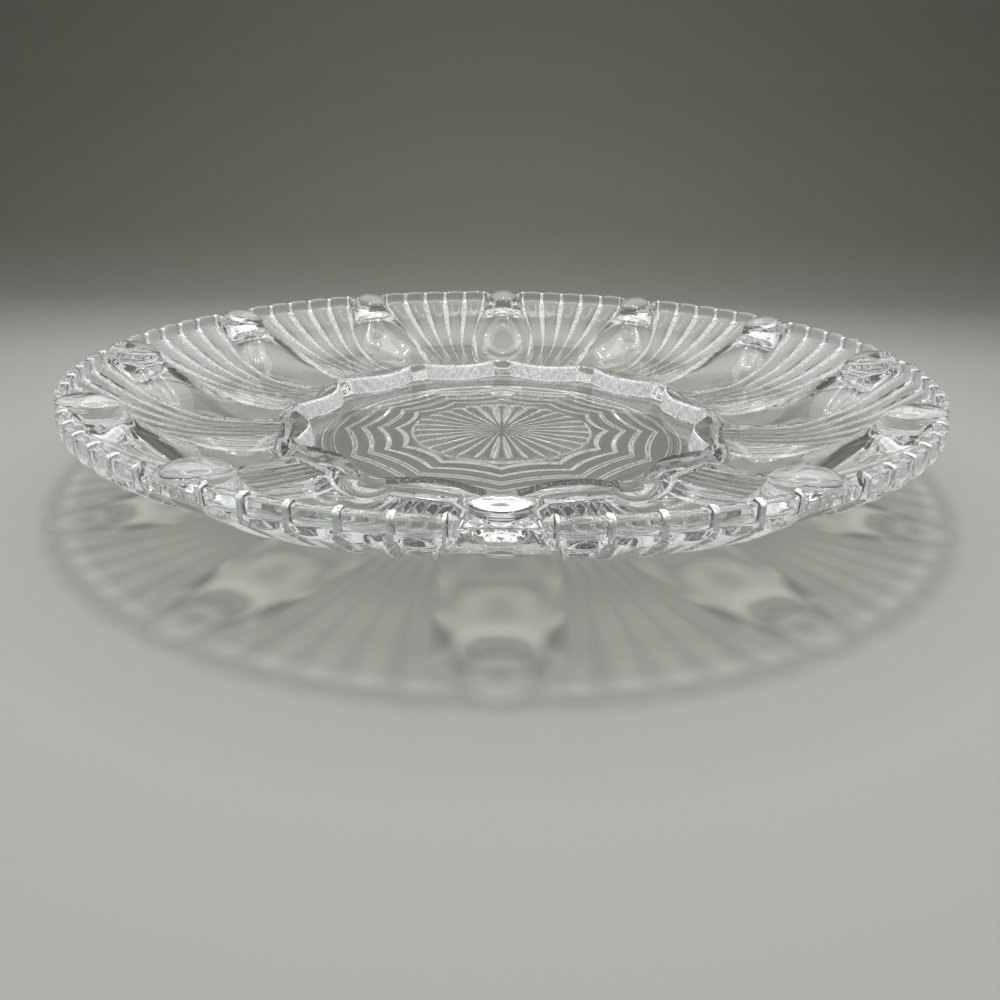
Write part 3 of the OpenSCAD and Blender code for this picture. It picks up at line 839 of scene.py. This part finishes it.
# Floor and backdrop, in metres: one pale sweep, with painted shade darkening it towards the back, where it
# rises behind
SWEEP_Y, SWEEP_ROUND, SWEEP_H, SWEEP_WIDE, SWEEP_FRONT, SWEEP_STEPS = 0.30, 0.20, 0.3, 3.0, -3.0, 12
FLOOR_ROW_Y = (SWEEP_FRONT, -1.0, -0.5, 0, SWEEP_Y)
SHADE_PAINT_FROM, SHADE_PAINT_TO = 0.12, 0.42
PALE, PAINTED_SHADE = (0.405, 0.398, 0.38, 1), (0.205, 0.202, 0.173, 1)
profile = [(y, 0) for y in FLOOR_ROW_Y]
for q in range(1, SWEEP_STEPS + 1):
    a = math.radians(90 * q / SWEEP_STEPS)
    profile.append((SWEEP_Y + SWEEP_ROUND * math.sin(a), SWEEP_ROUND * (1 - math.cos(a))))
profile.append((SWEEP_Y + SWEEP_ROUND, SWEEP_H))
mesh = bpy.data.meshes.new("studio_sweep")
verts = [(x, y, z) for y, z in profile for x in (-SWEEP_WIDE, SWEEP_WIDE)]
mesh.from_pydata(verts, [], [(2 * q, 2 * q + 1, 2 * q + 3, 2 * q + 2) for q in range(len(profile) - 1)])
mesh.polygons.foreach_set("use_smooth", np.ones(len(mesh.polygons), bool))
sweep = bpy.data.objects.new("studio_sweep", mesh)
bpy.context.scene.collection.objects.link(sweep)
material, tree, output = new_material("pale_sweep_painted_shade")
coords = new_node(tree, "TexCoord")
parts = new_node(tree, "SeparateXYZ", (), {"Vector": coords.outputs["Object"]})
# Painted shade: the colour darkens from the pale floor to the backdrop behind
shade = new_node(
    tree, "MapRange", {"From Min": SHADE_PAINT_FROM, "From Max": SHADE_PAINT_TO}, {"Value": parts.outputs["Y"]})
ramp = new_node(tree, "ValToRGB", (), {"Fac": shade.outputs["Result"]})
ramp.color_ramp.elements[0].color = PALE
ramp.color_ramp.elements[1].color = PAINTED_SHADE
diffuse = new_node(tree, "BsdfDiffuse", (), {"Color": ramp.outputs["Color"]})
tree.links.new(diffuse.outputs["BSDF"], output.inputs["Surface"])
mesh.materials.append(material)

# Lamps, in metres and watts: one compact key lamp overhead, and a ring of small ones round it
LAMPS, LAMP_RING, LAMP_Z, LAMP_SIZE, LAMP_WATTS = 16, 0.13, 0.32, 0.07, 0.028
POINT_SIZE, POINT_WATTS, POINT_LOWER = 0.01, 0.008, 0.004
KEY_SIZE, KEY_WATTS, KEY_Z = 0.085, 1.42, 0.5
LAMP_COLOUR = (0.975, 0.99, 1)


def disk_lamp(name, size, watts, spot):
    lamp = bpy.data.lights.new(name, "AREA")
    lamp.shape = "DISK"
    lamp.size = size
    lamp.energy = watts
    lamp.color = LAMP_COLOUR
    holder = bpy.data.objects.new(name, lamp)
    holder.location = spot
    holder.visible_camera = False
    bpy.context.scene.collection.objects.link(holder)
    return holder


for q in range(LAMPS):
    a = 2 * math.pi * q / LAMPS
    x, y = LAMP_RING * math.cos(a), LAMP_RING * math.sin(a)
    disk_lamp(f"ring_lamp_{q + 1:02d}", LAMP_SIZE, LAMP_WATTS, (x, y, LAMP_Z))
    disk_lamp(f"ring_point_{q + 1:02d}", POINT_SIZE, POINT_WATTS, (x, y, LAMP_Z - POINT_LOWER))
key = disk_lamp("key_lamp", KEY_SIZE, KEY_WATTS, (0, 0, KEY_Z))
key.visible_glossy = False
key.visible_transmission = False

# World: the inside of a grey light box, brightest in a band over the plate
WORLD_STOPS = [(0.0, 0.42), (0.3, 0.5), (0.55, 0.65), (0.8, 1.05), (0.92, 0.75)]
WORLD_BLUE, WORLD_END = 0.985, (0.6, 0.6, 0.59)
DIRECT_LEVEL, DIFFUSE_LEVEL = 1.0, 0.5
world = bpy.data.worlds.new("light_box")
bpy.context.scene.world = world
world.use_nodes = True
tree = world.node_tree
for node in list(tree.nodes):
    tree.nodes.remove(node)
coords = new_node(tree, "TexCoord")
parts = new_node(tree, "SeparateXYZ", (), {"Vector": coords.outputs["Generated"]})
ramp = new_node(tree, "ValToRGB", (), {"Fac": parts.outputs["Z"]})
set_ramp(ramp, WORLD_STOPS, WORLD_BLUE, WORLD_END)
path = new_node(tree, "LightPath")
level = new_node(
    tree, "MapRange", {"To Min": DIRECT_LEVEL, "To Max": DIFFUSE_LEVEL},
    {"Value": path.outputs["Is Diffuse Ray"]})
back = new_node(
    tree, "Background", (), {"Strength": level.outputs["Result"], "Color": ramp.outputs["Color"]})
output = new_node(tree, "OutputWorld", (), {"Surface": back.outputs["Background"]})

# Camera, in metres and radians: at the photograph's viewing angle
EYE, DOWN, ROLL = (-0.00022, -0.2363, 0.0849), 0.42157, 0.01332
SENSOR_W, FOCAL_SHARE = 36, 0.73256
NEAREST, FARTHEST = 0.01, 20
camera = bpy.data.cameras.new("camera")
camera.sensor_width = SENSOR_W
camera.lens = SENSOR_W * FOCAL_SHARE
camera.clip_start, camera.clip_end = NEAREST, FARTHEST
eye = bpy.data.objects.new("camera", camera)
eye.matrix_world = (
    Matrix.Translation(EYE)
    @ Matrix.Rotation(math.pi / 2 - DOWN, 4, "X")
    @ Matrix.Rotation(ROLL, 4, "Z"))
bpy.context.scene.collection.objects.link(eye)
bpy.context.scene.camera = eye

# Enough bounces for light to pass the many faces of the glass
BOUNCES, CLEAR_BOUNCES = 48, 64
scene = bpy.context.scene
scene.view_settings.view_transform = "Standard"
scene.cycles.caustics_refractive = False
scene.cycles.caustics_reflective = False
scene.cycles.transparent_max_bounces = CLEAR_BOUNCES
scene.cycles.glossy_bounces = BOUNCES
scene.cycles.transmission_bounces = BOUNCES
scene.cycles.max_bounces = BOUNCES
